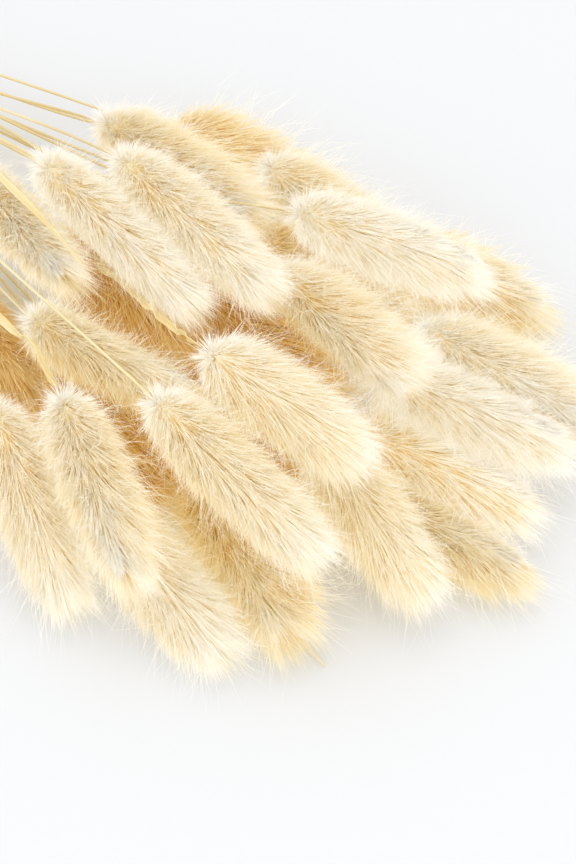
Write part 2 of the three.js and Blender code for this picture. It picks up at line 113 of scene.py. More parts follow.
class Finish:
    """A material, built up one node at a time."""

    def __init__(self, name):
        self.material = bpy.data.materials.new(name)
        self.material.use_nodes = True
        self.tree = self.material.node_tree
        self.tree.nodes.clear()

    def add(self, kind, settings=None, inputs=None, output=0):
        node = self.tree.nodes.new(kind)
        for setting, value in (settings or {}).items():
            if setting == "stops":
                self.set_stops(node.color_ramp, value)
            else:
                setattr(node, setting, value)
        for name, value in (inputs or {}).items():
            if isinstance(value, Value):
                self.tree.links.new(value.socket, node.inputs[name])
            else:
                node.inputs[name].default_value = value
        return Value(self, node.outputs[output]) if node.outputs else None

    @staticmethod
    def set_stops(ramp, stops):
        while len(ramp.elements) < len(stops):
            ramp.elements.new(1.0)
        for element, (place, colour) in zip(ramp.elements, stops):
            element.position = place
            element.color = (*colour, 1)

    def ramp(self, value, stops):
        return self.add("ShaderNodeValToRGB", {"stops": stops}, {"Fac": value})

    def blend(self, share, first, second):
        inputs = {MIX_SHARE: share, MIX_FIRST: first, MIX_SECOND: second}
        return self.add("ShaderNodeMix", {"data_type": "RGBA"}, inputs, output=MIX_COLOUR)

    def surface_map(self, name):
        """Where a spot lies on the piece's own map."""
        return self.add("ShaderNodeUVMap", {"uv_map": name})

    def part(self, places, way):
        """How far along X or Y the places are."""
        return self.add("ShaderNodeSeparateXYZ", None, {"Vector": places}, output=way)

    def noise(self, scale, stretch=(1, 1, 1)):
        places = self.add("ShaderNodeTexCoord", output="Object")
        places = self.add("ShaderNodeMapping", None, {"Vector": places, "Scale": stretch})
        inputs = {"Vector": places, "Scale": scale, "Detail": 3.0, "Roughness": 0.5}
        return self.add("ShaderNodeTexNoise", None, inputs)

    def ridges(self, place, count):
        """So many ridges side by side, from -1 in the grooves to 1 on the crests."""
        angle = place * (count * WHOLE_TURN)
        return self.add("ShaderNodeMath", {"operation": "SINE"}, {0: angle})

    def bump(self, height, strength, depth):
        inputs = {"Height": height, "Strength": strength, "Distance": depth}
        return self.add("ShaderNodeBump", None, inputs)

    def finished(self, sockets):
        shader = self.add("ShaderNodeBsdfPrincipled", None, sockets)
        self.add("ShaderNodeOutputMaterial", None, {"Surface": shader})
        return self.material


FUR_MAP = "OFBake"
ROD_MAP = "UVMap"
# Colours by how far along a hair they are, from its root to its tip; the golden roots are partly
# the hairs' own colour and partly painted shade for the depth of the fur.
GOLDEN_FUR = [
    (0.0, (0.58, 0.34, 0.055)),
    (0.15, (0.76, 0.54, 0.17)),
    (0.45, (0.9, 0.74, 0.39)),
    (1.0, (0.97, 0.86, 0.57)),
]
PALE_FUR = [
    (0.0, (0.9, 0.68, 0.31)),
    (0.15, (0.95, 0.82, 0.53)),
    (0.5, (0.987, 0.957, 0.88)),
    (1.0, (0.996, 0.99, 0.975)),
]
STRAW_COLOURS = [(0.3, (0.66, 0.5, 0.22)), (0.5, (0.76, 0.63, 0.34)), (0.7, (0.84, 0.74, 0.48))]
STRAW_RIBS = 16
LEAF_COLOURS = [(0.3, (0.74, 0.56, 0.24)), (0.5, (0.82, 0.68, 0.36)), (0.72, (0.88, 0.79, 0.54))]
LEAF_VEINS = 9
VEIN_COLOUR = (0.72, 0.5, 0.2, 1)
JUTE_COLOURS = [(0.3, (0.36, 0.22, 0.09)), (0.5, (0.56, 0.38, 0.18)), (0.7, (0.7, 0.53, 0.3))]
TABLE_COLOUR = (0.7, 0.72, 0.755, 1)


def fur_finish():
    """Hair whose colour runs from a golden root to a pale tip."""
    fur = Finish("bunny tail fur")
    places = fur.surface_map(FUR_MAP)
    tone, along = fur.part(places, "X"), fur.part(places, "Y")
    colour = fur.blend(tone, fur.ramp(along, GOLDEN_FUR), fur.ramp(along, PALE_FUR))
    return fur.finished({"Base Color": colour, "Roughness": 0.6, "Specular IOR Level": 0.2})


def straw_finish():
    """Dry stem: pale straw with golden lengths and fine ribs."""
    straw = Finish("dry straw")
    around = straw.part(straw.surface_map(ROD_MAP), "Y")
    colour = straw.ramp(straw.noise(90.0, stretch=(0.25, 1, 1)), STRAW_COLOURS)
    ribs = straw.ridges(around, STRAW_RIBS)
    bump = straw.bump(ribs, 0.25, 0.05 * MM)
    return straw.finished({"Base Color": colour, "Roughness": 0.45, "Normal": bump})


def leaf_finish():
    """Thin dry leaf, yellower than the straw, with fine veins along it."""
    leaf = Finish("dry leaf")
    across = leaf.part(leaf.surface_map(ROD_MAP), "Y")
    colour = leaf.ramp(leaf.noise(140.0, stretch=(0.3, 1, 1)), LEAF_COLOURS)
    veins = leaf.ridges(across, LEAF_VEINS)
    colour = leaf.blend(0.12 + 0.1 * veins, colour, VEIN_COLOUR)
    bump = leaf.bump(veins, 0.4, 0.06 * MM)
    return leaf.finished({"Base Color": colour, "Roughness": 0.5, "Normal": bump})


def jute_finish():
    """Rough tan fibre in uneven patches."""
    jute = Finish("jute")
    strands = jute.noise(1800.0, stretch=(1, 0.35, 0.35))
    patches = jute.noise(220.0)
    colour = jute.ramp(0.7 * strands + 0.3 * patches, JUTE_COLOURS)
    bump = jute.bump(strands, 0.5, 0.1 * MM)
    return jute.finished({
        "Base Color": colour, "Roughness": 0.85, "Specular IOR Level": 0.2, "Normal": bump,
    })


def table_finish():
    """Plain matt paper."""
    paper = Finish("pale paper")
    return paper.finished({
        "Base Color": TABLE_COLOUR, "Roughness": 0.9, "Specular IOR Level": 0.1,
    })


FUR = fur_finish()
STRAW = straw_finish()
LEAF = leaf_finish()
JUTE = jute_finish()


# Reading the solids

SAME_SPOT = 0.002 * MM  # corners nearer than this are one corner


def faces_of(node):
    """The corners of a solid's faces, three to a face."""
    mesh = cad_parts[node].data
    places = np.empty(len(mesh.vertices) * 3)
    mesh.vertices.foreach_get("co", places)
    mesh.calc_loop_triangles()
    corners = np.empty(len(mesh.loop_triangles) * 3, int)
    mesh.loop_triangles.foreach_get("vertices", corners)
    return places.reshape(-1, 3)[corners].reshape(-1, 3, 3)


def unit(vectors):
    """The same directions, each of length 1."""
    return vectors / np.linalg.norm(vectors, axis=-1, keepdims=True)


def crossings(faces, place, normal):
    """The short lines in which a plane cuts the faces."""
    heights = (faces - place) @ normal
    above = heights > 0
    lines = []
    for face, height, high in zip(faces, heights, above):
        if high.all() or not high.any():
            continue
        ends = []
        for a, b in ((0, 1), (1, 2), (2, 0)):
            if high[a] != high[b]:
                share = height[a] / (height[a] - height[b])
                ends.append(face[a] + share * (face[b] - face[a]))
        lines.append(ends)
    return np.array(lines).reshape(-1, 2, 3)


def outlines(faces, place, normal):
    """The closed outlines of a cut, each as its middle, the length round it and its lines."""
    lines = crossings(faces, place, normal)
    group = np.arange(len(lines))
    for k, line in enumerate(lines):
        gaps = np.linalg.norm(lines[:, :, None] - line[None, None], axis=-1)
        touching = (gaps < SAME_SPOT).any(axis=(1, 2))
        group[np.isin(group, group[touching])] = group[k]
    found = []
    for which in np.unique(group):
        part = lines[group == which]
        lengths = np.linalg.norm(part[:, 1] - part[:, 0], axis=1)
        if lengths.sum() > 0:
            middle = (part.mean(axis=1) * lengths[:, None]).sum(axis=0) / lengths.sum()
            found.append((middle, lengths.sum(), part))
    return found


# Lines

def gone_along(line):
    """How far each place on a line is from its start, measured along it."""
    return np.r_[0, np.cumsum(np.linalg.norm(np.diff(line, axis=0), axis=1))]


def eased(line, rounds):
    """The line with its corners rounded and its ends kept."""
    line = line.copy()
    for _ in range(rounds):
        line[1:-1] += 0.25 * (line[:-2] - 2 * line[1:-1] + line[2:])
    return line


def smooth_line(points, count):
    """Even places on a curve that runs through the points."""
    padded = np.vstack([2 * points[0] - points[1], points, 2 * points[-1] - points[-2]])
    gone = gone_along(points)
    wanted = np.linspace(0, gone[-1], count)
    k = np.clip(np.searchsorted(gone, wanted, side="right") - 1, 0, len(points) - 2)
    t = ((wanted - gone[k]) / (gone[k + 1] - gone[k]))[:, None]
    a, b, c, d = (padded[k + step] for step in range(4))
    return 0.5 * (
        2 * b + (c - a) * t + (2 * a - 5 * b + 4 * c - d) * t**2 + (3 * b - a - 3 * c + d) * t**3
    )


STEM_STEP = 4 * MM
STEM_GIRTH = 4.7 * MM  # round a bare stem; a stem with a leaf on it measures more
STEM_STRAY = 1.5 * MM  # a stem's next middle is no further than this from straight ahead
STEM_WIDTH = 1.2 * MM  # all of a stem's corners are nearer than this to its line
STEM_LOST = 5  # after so many steps that find no stem its end is passed
CUT_END = 0.1 * MM  # corners no further than this past a stem's first are on its cut end


def stem_line(name):
    """Places along the middle of a stem, from its cut end to its head."""
    faces = faces_of(f"stem_{name}")
    corners = faces.reshape(-1, 3)
    place = corners[corners[:, 0] < corners[:, 0].min() + CUT_END].mean(axis=0)
    line, way, missed = [place], np.array((1.0, 0.0, 0.0)), 0
    while missed < STEM_LOST:
        ahead = place + way * STEM_STEP
        near = [
            middle for middle, girth, _ in outlines(faces, ahead, way)
            if girth < STEM_GIRTH and np.linalg.norm(middle - ahead) < STEM_STRAY
        ]
        if near:
            place = min(near, key=lambda middle: np.linalg.norm(middle - ahead))
            way = unit(place - line[-1])
            line.append(place)
            missed = 0
        else:
            place = ahead
            missed += 1
    beyond = (corners - line[-1]) @ way
    aside = np.linalg.norm(corners - line[-1] - beyond[:, None] * way, axis=1)
    to_end = beyond[(aside < STEM_WIDTH) & (beyond < 2 * STEM_STEP)].max()
    return np.array([*line, line[-1] + way * to_end])


STEM_LINES = {name: stem_line(name) for name in HEADS}


# Heads

class Head:
    """The place, girth and lie of one head, read from its solid."""

    STATIONS = 25
    SIDES = 24
    FIRST_STATION = 0.02  # as a share of the head's length
    STATIONS_LENGTH = 0.96
    LEAST_GIRTH = 0.3 * MM

    def __init__(self, name):
        self.name = name
        corners = faces_of(f"head_{name}").reshape(-1, 3)
        stem_end = STEM_LINES[name][-1]
        self.base = corners[np.linalg.norm(corners - stem_end, axis=1).argmin()]
        self.tip = corners[np.linalg.norm(corners - self.base, axis=1).argmax()]
        self.length = np.linalg.norm(self.tip - self.base)
        self.axis = (self.tip - self.base) / self.length
        self.across = unit(np.cross(UP, self.axis))
        self.upward = np.cross(self.axis, self.across)
        self.girths = self.measured_girths()

    def measured_girths(self):
        """How far the surface is from the axis, by share along and angle round it."""
        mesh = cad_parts[f"head_{self.name}"].data
        tree = BVHTree.FromPolygons(
            [v.co for v in mesh.vertices], [p.vertices for p in mesh.polygons]
        )
        last = self.FIRST_STATION + self.STATIONS_LENGTH
        girths = np.zeros((self.STATIONS, self.SIDES))
        for i, share in enumerate(np.linspace(self.FIRST_STATION, last, self.STATIONS)):
            centre = self.base + self.axis * (share * self.length)
            for j in range(self.SIDES):
                outward = self.outward(j / self.SIDES * WHOLE_TURN)
                hit = tree.ray_cast(Vector(centre), Vector(outward))
                girths[i, j] = hit[3] if hit[0] else self.LEAST_GIRTH
        return girths

    def outward(self, angles):
        """The directions away from the axis at these angles round it."""
        angles = np.asarray(angles)[..., None]
        return self.across * np.cos(angles) + self.upward * np.sin(angles)

    def girth(self, shares, angles):
        """The measured girth at any places, smoothed between the stations."""
        along = np.clip((shares - self.FIRST_STATION) / self.STATIONS_LENGTH, 0, 1)
        i = along * (self.STATIONS - 1)
        j = np.mod(angles / WHOLE_TURN, 1) * self.SIDES
        low_i = np.minimum(i.astype(int), self.STATIONS - 2)
        low_j = j.astype(int) % self.SIDES
        high_j = (low_j + 1) % self.SIDES
        di, dj = i - low_i, j - np.floor(j)
        near = self.girths[low_i, low_j] * (1 - dj) + self.girths[low_i, high_j] * dj
        far = self.girths[low_i + 1, low_j] * (1 - dj) + self.girths[low_i + 1, high_j] * dj
        return near * (1 - di) + far * di


# How the hairs of a head stand

FEWER_HAIRS = 0.5  # the share of the hairs that a sheltered head has
TUFTS = 430
HAIRS_IN_TUFT = 18
AWNS = 915  # long single hairs that stand out of the fur
SPIRAL_ANGLE = 2.399963  # from one tuft to the next, as seeds are set round a head
TUFT_CROWDING = 1.08  # over 1, the tufts stand closer towards the tip

# How much tufts differ from each other, and the hairs in a tuft.
TUFT_SHARE, TUFT_ANGLE = 0.01, 0.3
TUFT_TILT, TUFT_SWING = math.radians(2.5), math.radians(5)
TUFT_TONE = 0.04
TUFT_REACH = (0.95, 1.05)
HAIR_SHARE, HAIR_ANGLE = 0.022, 0.3
HAIR_TILT, HAIR_SWING = math.radians(4), math.radians(7)
HAIR_TONE = 0.05
HAIR_REACH = (0.82, 1.05)
AWN_LEAN = math.radians(20)  # how much further out than the fur the awns stand
AWN_SWING = math.radians(16)
AWN_REACH = (1.2, 2.05)
AWN_TONE, AWN_TONE_SPREAD = 0.48, 0.1  # awns are paler than the fur

# How far hairs lean from the head's axis, in degrees, at these shares of its length: back
# over the base and forward at the tip.
LEAN_SHARES = (0.0, 0.02, 0.05, 0.1, 0.2, 0.4, 0.75, 1.0)
LEAN_DEGREES = (135, 98, 72, 56, 45, 37, 29, 14)


def lean(shares):
    """The angle between a hair and the head's axis."""
    return np.radians(np.interp(shares, LEAN_SHARES, LEAN_DEGREES))


def dense_hairs(random, tufts):
    """Share, angle, tilt, swing, reach and tone of the fur's hairs, tuft by tuft."""
    order = np.arange(tufts) + 0.5
    crowded = (order / tufts) ** TUFT_CROWDING
    tuft_share = crowded + random.uniform(-TUFT_SHARE, TUFT_SHARE, tufts)
    tuft_angle = order * SPIRAL_ANGLE + random.uniform(-TUFT_ANGLE, TUFT_ANGLE, tufts)
    tuft_tilt = random.normal(0, TUFT_TILT, tufts)
    tuft_swing = random.normal(0, TUFT_SWING, tufts)
    tuft_tone = random.normal(0, TUFT_TONE, tufts)
    tuft_reach = random.uniform(*TUFT_REACH, tufts)

    which = np.repeat(np.arange(tufts), HAIRS_IN_TUFT)
    count = len(which)
    share = tuft_share[which] + random.normal(0, HAIR_SHARE, count)
    angle = tuft_angle[which] + random.normal(0, HAIR_ANGLE, count)
    tilt = lean(share) + tuft_tilt[which] + random.normal(0, HAIR_TILT, count)
    swing = tuft_swing[which] + random.normal(0, HAIR_SWING, count)
    reach = tuft_reach[which] * random.uniform(*HAIR_REACH, count)
    tone = tuft_tone[which] + random.normal(0, HAIR_TONE, count)
    return share, angle, tilt, swing, reach, tone


def long_hairs(random, count):
    """Share, angle, tilt, swing, reach and tone of the long hairs."""
    share = random.uniform(0, 1, count)
    angle = random.uniform(0, WHOLE_TURN, count)
    tilt = lean(share) + random.normal(AWN_LEAN, AWN_LEAN, count)
    swing = random.normal(0, AWN_SWING, count)
    reach = random.uniform(*AWN_REACH, count)
    tone = random.normal(AWN_TONE, AWN_TONE_SPREAD, count)
    return share, angle, tilt, swing, reach, tone


FUR_FULLNESS = 1.2  # how far the dense fur reaches, as a share of the solid's girth
SHELTERED_FULLNESS = 1.7  # the same for the low heads, whose fur fills the gaps above them
USUAL_HAIR = 6 * MM
BLUNT_FROM, BLUNTNESS = 0.6, 0.14  # as shares of the head's length
ROOTS_FROM = 0.04  # where the first hairs stand, as a share of the head's length
ROOTS_LENGTH = 0.84
ROOT_DEPTH = 0.42  # how far from the axis the roots are, as a share of the fur's reach
END_FROM = 0.84  # from this share on, the roots spread over the whole end
SHORTEST_HAIR = 4.2 * MM
LONGEST_HAIR = 11 * MM
LONGEST_GOLDEN_HAIR = 15 * MM
LONGEST_AWN = 16.5 * MM
LONG_BASE_HAIR = 12 * MM
BASE_SHARES = (0.02, 0.25)  # long hairs at a base give way to usual ones between these
PAST_TIP = 1.14  # hairs end before this share of the head's length
PAST_GOLDEN_TIP = 1.34
# A hair's length follows its tilt between these.
FLATTEST, STEEPEST = math.radians(24), math.radians(140)
MOST_FORWARD = math.radians(80)  # hairs that lean out further can't run past the tip
ON_TABLE = (0.25 * MM, 0.85 * MM)  # the heights at which hairs that reach the table lie


def fur_reach(head, root_along, angle, tilt, fullness):
    """How far from the axis the fur reaches at the tip of a hair."""
    tip_share = (root_along + USUAL_HAIR * np.cos(tilt)) / head.length
    # A head ends bluntly: its fur is nearly as full there as a little way back.
    blunt = tip_share - BLUNTNESS * np.clip((tip_share - BLUNT_FROM) / (1 - BLUNT_FROM), 0, 1)
    return fullness * head.girth(blunt, angle)


def hair_lengths(head, share, tilt, reach, root_along, depth):
    """Lengths that bring the tips out through the fur's depth and not far past the head."""
    golden = head.name in GOLDEN
    longest = LONGEST_GOLDEN_HAIR if golden else LONGEST_HAIR
    past_tip = PAST_GOLDEN_TIP if golden else PAST_TIP
    base_hair = LONG_BASE_HAIR if head.name in LONG_BASES else SHORTEST_HAIR
    shortest = np.interp(share, BASE_SHARES, (base_hair, SHORTEST_HAIR))
    slope = np.sin(np.clip(tilt, FLATTEST, STEEPEST))
    room = (past_tip * head.length - root_along) / np.cos(np.clip(tilt, 0, MOST_FORWARD))
    length = np.clip(depth / slope, shortest, longest)
    length = np.minimum(length, np.maximum(room, SHORTEST_HAIR)) * reach
    return np.minimum(length, LONGEST_AWN)


def hair_ways(head, outward, tilt, swing):
    """The directions of the hairs, tilted from the axis and swung to either side."""
    around = np.cross(head.axis, outward)
    return (
        head.axis * np.cos(tilt)[:, None]
        + outward * (np.sin(tilt) * np.cos(swing))[:, None]
        + around * (np.sin(tilt) * np.sin(swing))[:, None]
    )


LOW_BASE = 10 * MM  # a head whose base is lower than this lies in shade, and gets no painted light there
PAINTED_BASE_LIGHT, BASE_LIGHT_SHARE = 0.6, 0.12  # painted light: how much paler a lit base is, and over what share
# how much paler a head gets towards its far end
TIP_PALENESS = 0.35
PAINTED_SIDE_SHADE = 0.2  # painted shade: how much more golden a head's sides are than its top
SIDE_LEVEL = 0.45  # fur that faces up by this much is neither
LEAST_TONE, MOST_TONE = 0.04, 0.96
ROOT_SHADE = 0.02  # how far along a hair's colours its root starts
LIT_BASE_ROOTS, LIT_BASE_ROOTS_SHARE = 0.55, 0.09  # the same for the painted light at a lit base, and over what share


def hair_tones(head, share, outward, tone):
    """How pale each hair is, and how far along its colours its root starts."""
    lit_base = 0.0 if head.base[2] < LOW_BASE else 1.0
    paleness = PALENESS.get(head.name, PALENESS_ELSEWHERE)
    # Painted light: the bases of heads that lie high enough to be lit are paler.
    paleness = paleness + PAINTED_BASE_LIGHT * lit_base * np.exp(-share / BASE_LIGHT_SHARE)
    paleness = paleness + TIP_PALENESS * share**3
    # Painted shade: fur on a head's sides and underside is more golden than on its top.
    paleness = paleness + PAINTED_SIDE_SHADE * (outward[:, 2] - SIDE_LEVEL)
    # Painted light: the hairs round a lit base are pale from their roots.
    shade = ROOT_SHADE + LIT_BASE_ROOTS * lit_base * np.exp(-share / LIT_BASE_ROOTS_SHARE)
    return np.clip(paleness + tone, LEAST_TONE, MOST_TONE), shade


def grow_hairs(head, random, tufts, awns, fullness):
    """Roots, tips, tones, root shades and facing of a head's hairs, the awns last."""
    kinds = dense_hairs(random, tufts), long_hairs(random, awns)
    share, angle, tilt, swing, reach, tone = (np.concatenate(both) for both in zip(*kinds))
    share = np.clip(share, 0.0, 1.0)
    outward = head.outward(angle)
    root_along = (ROOTS_FROM + ROOTS_LENGTH * share) * head.length
    full = fur_reach(head, root_along, angle, tilt, fullness)
    inside = ROOT_DEPTH * full
    inside *= np.where(share > END_FROM, np.sqrt(random.uniform(0, 1, len(share))), 1)
    length = hair_lengths(head, share, tilt, reach, root_along, full - inside)
    roots = head.base + head.axis * root_along[:, None] + outward * inside[:, None]
    tips = roots + hair_ways(head, outward, tilt, swing) * length[:, None]
    low = random.uniform(*ON_TABLE, len(tips))
    tips[:, 2] = np.maximum(tips[:, 2], low)
    roots[:, 2] = np.maximum(roots[:, 2], low)
    tone, shade = hair_tones(head, share, outward, tone)
    return roots, tips, tone, shade, outward


# The hairs as shapes: three sided, with one flat side facing out of the fur

SECTION = (np.arange(3) - 0.5) / 3 * WHOLE_TURN  # the angles of a hair's three corners
A_LITTLE_UP = 0.01 * UP  # so that no hair points exactly where it faces
BEND_AT = 0.52  # where a long hair bends, as a share of its length
BEND = 0.08  # how far aside it is there, as a share of its length
BEND_WIDTH = 0.62  # how wide it is there, as a share of its root
LOWEST_BEND = 0.3 * MM

# The faces of a straight hair and of a bent one, by corner: the foot has corners 0 to 2
# and the tip is the last.
STRAIGHT_FACES = np.array([(2, 1, 0), (0, 1, 3), (1, 2, 3), (2, 0, 3)])
BENT_FACES = np.array([(2, 1, 0)] + [
    face for a, b in ((0, 1), (1, 2), (2, 0))
    for face in ((a, b, b + 3), (a, b + 3, a + 3), (a + 3, b + 3, 6))
])
# What each corner adds to its hair's tone, and how far along the hair's colours it is.
STRAIGHT_TONES = np.array((-0.012, 0.0, 0.012, 0.0))
STRAIGHT_ALONG = np.array((0, 0.03, 0, 0.98))
BENT_TONES = np.array((-0.012, 0.0, 0.012, -0.008, 0.0, 0.008, 0.0))
BENT_ALONG = np.array((0, 0.03, 0, 0.6, 0.61, 0.6, 0.98))


def frames(ways, facing):
    """Two directions square to each way, the first of them nearest to its facing."""
    aside = unit(np.cross(ways, facing + A_LITTLE_UP))
    return np.cross(aside, ways), aside


def ring(places, ways, half, facing, turn):
    """Three corners round each place."""
    out, aside = frames(ways, facing)
    angles = turn[:, None] + SECTION
    return (
        places[:, None]
        + half[:, None, None] * np.cos(angles)[..., None] * out[:, None]
        + half[:, None, None] * np.sin(angles)[..., None] * aside[:, None]
    )


def repeated(faces, count):
    """The faces of one hair, numbered on for so many hairs."""
    corners = faces.max() + 1
    return (np.arange(count)[:, None, None] * corners + faces).reshape(-1, 3)


def on_map(tone, shade, tones, along):
    """Each corner's place on the fur's map: its tone across and its colour along."""
    of_foot = np.arange(len(along)) < 3
    across = np.clip(tone[:, None] + tones, 0, 1)
    return np.stack([across.reshape(-1), (shade[:, None] * of_foot + along).reshape(-1)], axis=1)


def needles(roots, tips, tone, shade, half, facing, turn):
    """Straight hairs: a three sided foot drawn out to a point."""
    foot = ring(roots, unit(tips - roots), half, facing, turn)
    places = np.concatenate([foot, tips[:, None]], axis=1).reshape(-1, 3)
    spots = on_map(tone, shade, STRAIGHT_TONES, STRAIGHT_ALONG)
    return places, repeated(STRAIGHT_FACES, len(roots)), spots


def bent_needles(roots, tips, tone, shade, half, facing, turn, random):
    """Long hairs with a bend half way."""
    way = tips - roots
    length = np.linalg.norm(way, axis=1)
    out, aside = frames(unit(way), facing)
    bend = random.normal(0, BEND, (2, len(roots))) * length
    middle = roots + way * BEND_AT + out * bend[0][:, None] + aside * bend[1][:, None]
    middle[:, 2] = np.maximum(middle[:, 2], LOWEST_BEND)
    foot = ring(roots, unit(middle - roots), half, facing, turn)
    waist = ring(middle, unit(way), half * BEND_WIDTH, facing, turn)
    places = np.concatenate([foot, waist, tips[:, None]], axis=1).reshape(-1, 3)
    spots = on_map(tone, shade, BENT_TONES, BENT_ALONG)
    return places, repeated(BENT_FACES, len(roots)), spots


CORE_RINGS = 17
CORE_SIDES = 16
CORE_GIRTH = 0.5  # as a share of the solid's
CORE_FROM, CORE_LENGTH = 0.08, 0.76  # as shares of the head's length
CORE_ENDS = np.array([[0.07], [0.85]])
CORE_LOWEST = 0.4 * MM
CORE_PALENESS = 0.6  # as a share of the fur's
CORE_SHADE = 0.2  # how far along a hair's colours the core's colour is
CORE_TONE_SPREAD, CORE_SHADE_SPREAD = 0.05, 0.04
CORE_PALE_BASE, CORE_PALE_TIP = 0.4, 0.3


def core_faces():
    """The faces of a closed barrel: its rings, then its two ends."""
    faces = []
    for i in range(CORE_RINGS - 1):
        for j in range(CORE_SIDES):
            a, b = i * CORE_SIDES + j, i * CORE_SIDES + (j + 1) % CORE_SIDES
            faces += [(a, b, b + CORE_SIDES), (a, b + CORE_SIDES, a + CORE_SIDES)]
    low, last = CORE_RINGS * CORE_SIDES, (CORE_RINGS - 1) * CORE_SIDES
    high = low + 1
    for j in range(CORE_SIDES):
        after = (j + 1) % CORE_SIDES
        faces += [(low, after, j), (high, last + j, last + after)]
    return np.array(faces)


def core(head):
    """The dense middle of a head, from which the hairs grow."""
    shares = np.linspace(0, 1, CORE_RINGS + 2)[1:-1]
    angles = np.arange(CORE_SIDES) / CORE_SIDES * WHOLE_TURN
    share, angle = (grid.ravel() for grid in np.meshgrid(shares, angles, indexing="ij"))
    girth = head.girth(share, angle) * CORE_GIRTH
    centre = head.base + head.axis * ((CORE_FROM + CORE_LENGTH * share) * head.length)[:, None]
    body = centre + head.outward(angle) * girth[:, None]
    places = np.vstack([body, head.base + head.axis * head.length * CORE_ENDS])
    places[:, 2] = np.maximum(places[:, 2], CORE_LOWEST)
    # Its colour is uneven from corner to corner, and paler towards both ends.
    number = np.arange(len(places))
    paleness = CORE_PALENESS * PALENESS.get(head.name, PALENESS_ELSEWHERE)
    across = paleness + CORE_TONE_SPREAD * np.cos(number * 2.1)
    along = CORE_SHADE + CORE_SHADE_SPREAD * np.sin(number * 1.7)
    reached = np.r_[share, 0, 1]
    along += CORE_PALE_BASE * np.exp(-reached / 0.1) + CORE_PALE_TIP * reached**6
    return places, core_faces(), np.stack([across, along], axis=1)


# Heads as pieces

HAIR_WIDTH = 0.08 * MM  # half of a hair's width at its root
HAIR_WIDTHS = (0.75, 1.2)  # the thinnest and the thickest, as shares of that
HAIR_TURN = math.radians(12)  # how much a hair's flat side turns from facing out
AWN_WIDTH = 0.7  # as a share of a hair's
DEEP_SHADE_REACH = 0.24  # painted shade: the colours of a golden head's hairs stop this far along


def make_mesh(name, parts, finish):
    """One piece from several lists of places, faces and places on its map."""
    starts = np.cumsum([0] + [len(places) for places, _, _ in parts])
    places = np.vstack([part[0] for part in parts])
    faces = np.vstack([part[1] + start for part, start in zip(parts, starts)])
    spots = np.vstack([part[2] for part in parts])
    mesh = bpy.data.meshes.new(name)
    mesh.vertices.add(len(places))
    mesh.vertices.foreach_set("co", places.ravel())
    mesh.loops.add(faces.size)
    mesh.loops.foreach_set("vertex_index", faces.ravel().astype(np.int32))
    mesh.polygons.add(len(faces))
    mesh.polygons.foreach_set("loop_start", np.arange(len(faces), dtype=np.int32) * 3)
    mesh.update(calc_edges=True)
    mesh.uv_layers.new(name=FUR_MAP)
    mesh.uv_layers[0].data.foreach_set("uv", spots[faces.ravel()].ravel())
    mesh.polygons.foreach_set("use_smooth", np.zeros(len(faces), bool))
    mesh.materials.append(finish)
    piece = bpy.data.objects.new(name, mesh)
    bpy.context.collection.objects.link(piece)
    return piece


def pick(*pieces):
    """Select only these pieces, the first of them active."""
    bpy.ops.object.select_all(action="DESELECT")
    for piece in pieces:
        piece.select_set(True)
    bpy.context.view_layer.objects.active = pieces[0]


def stand_in(piece, node):
    """Show a piece in place of the solid that it is shaped on."""
    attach(piece, "root")
    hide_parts(node)


def make_head(name, seed):
    """A core with dense fur and long hairs on it."""
    head = Head(name)
    random = np.random.default_rng(seed)
    sheltered = name in SHELTERED
    few = FEWER_HAIRS if sheltered else 1.0
    fullness = FULLNESS.get(name, SHELTERED_FULLNESS if sheltered else FUR_FULLNESS)
    tufts = int(TUFTS * few)
    roots, tips, tone, shade, facing = grow_hairs(
        head, random, tufts, int(AWNS * few), fullness
    )
    turn = random.normal(0, HAIR_TURN, len(roots))
    half = HAIR_WIDTH * random.uniform(*HAIR_WIDTHS, len(roots)) * few**-0.5
    fur_hairs = slice(0, tufts * HAIRS_IN_TUFT)
    awns = slice(tufts * HAIRS_IN_TUFT, None)
    half[awns] *= AWN_WIDTH
    hairs = (roots, tips, tone, shade, half, facing, turn)
    parts = [
        core(head),
        needles(*(values[fur_hairs] for values in hairs)),
        bent_needles(*(values[awns] for values in hairs), random),
    ]
    # Painted shade: the low heads deep in the gaps keep to their darker colours.
    if name in GOLDEN:
        for _, _, spots in parts:
            spots[:, 1] *= DEEP_SHADE_REACH
    stand_in(make_mesh(f"fur_{name}", parts, FUR), f"head_{name}")


# Leaves

LEAF_STEP = 3 * MM
LEAF_ROOT_GAP = 1.6 * MM  # a leaf nearer than this to its stem has reached its root
LEAF_TIP_HALF = 0.1 * MM
LEAF_CUTS = 64
LEAF_STRIPS = 6
LEAF_THICKNESS = 0.22 * MM
LEAF_FOLD = 0.55  # how high its edges are, as a share of its half width
LEAF_TWIST, TWISTS = 0.35, 9  # how far it turns each way, and how quickly along it
LEAF_WAVE, WAVES = 0.1, 23  # how much its width varies, and how quickly
LEAF_WIDEST = 1.1  # no cut counts as wider than this share of the middle one
LEAF_LOWEST = 0.3 * MM
LEAF_SHARP = math.radians(50)
STEM_PLACES = 200  # on a stem's line, to measure how far its leaf is from it


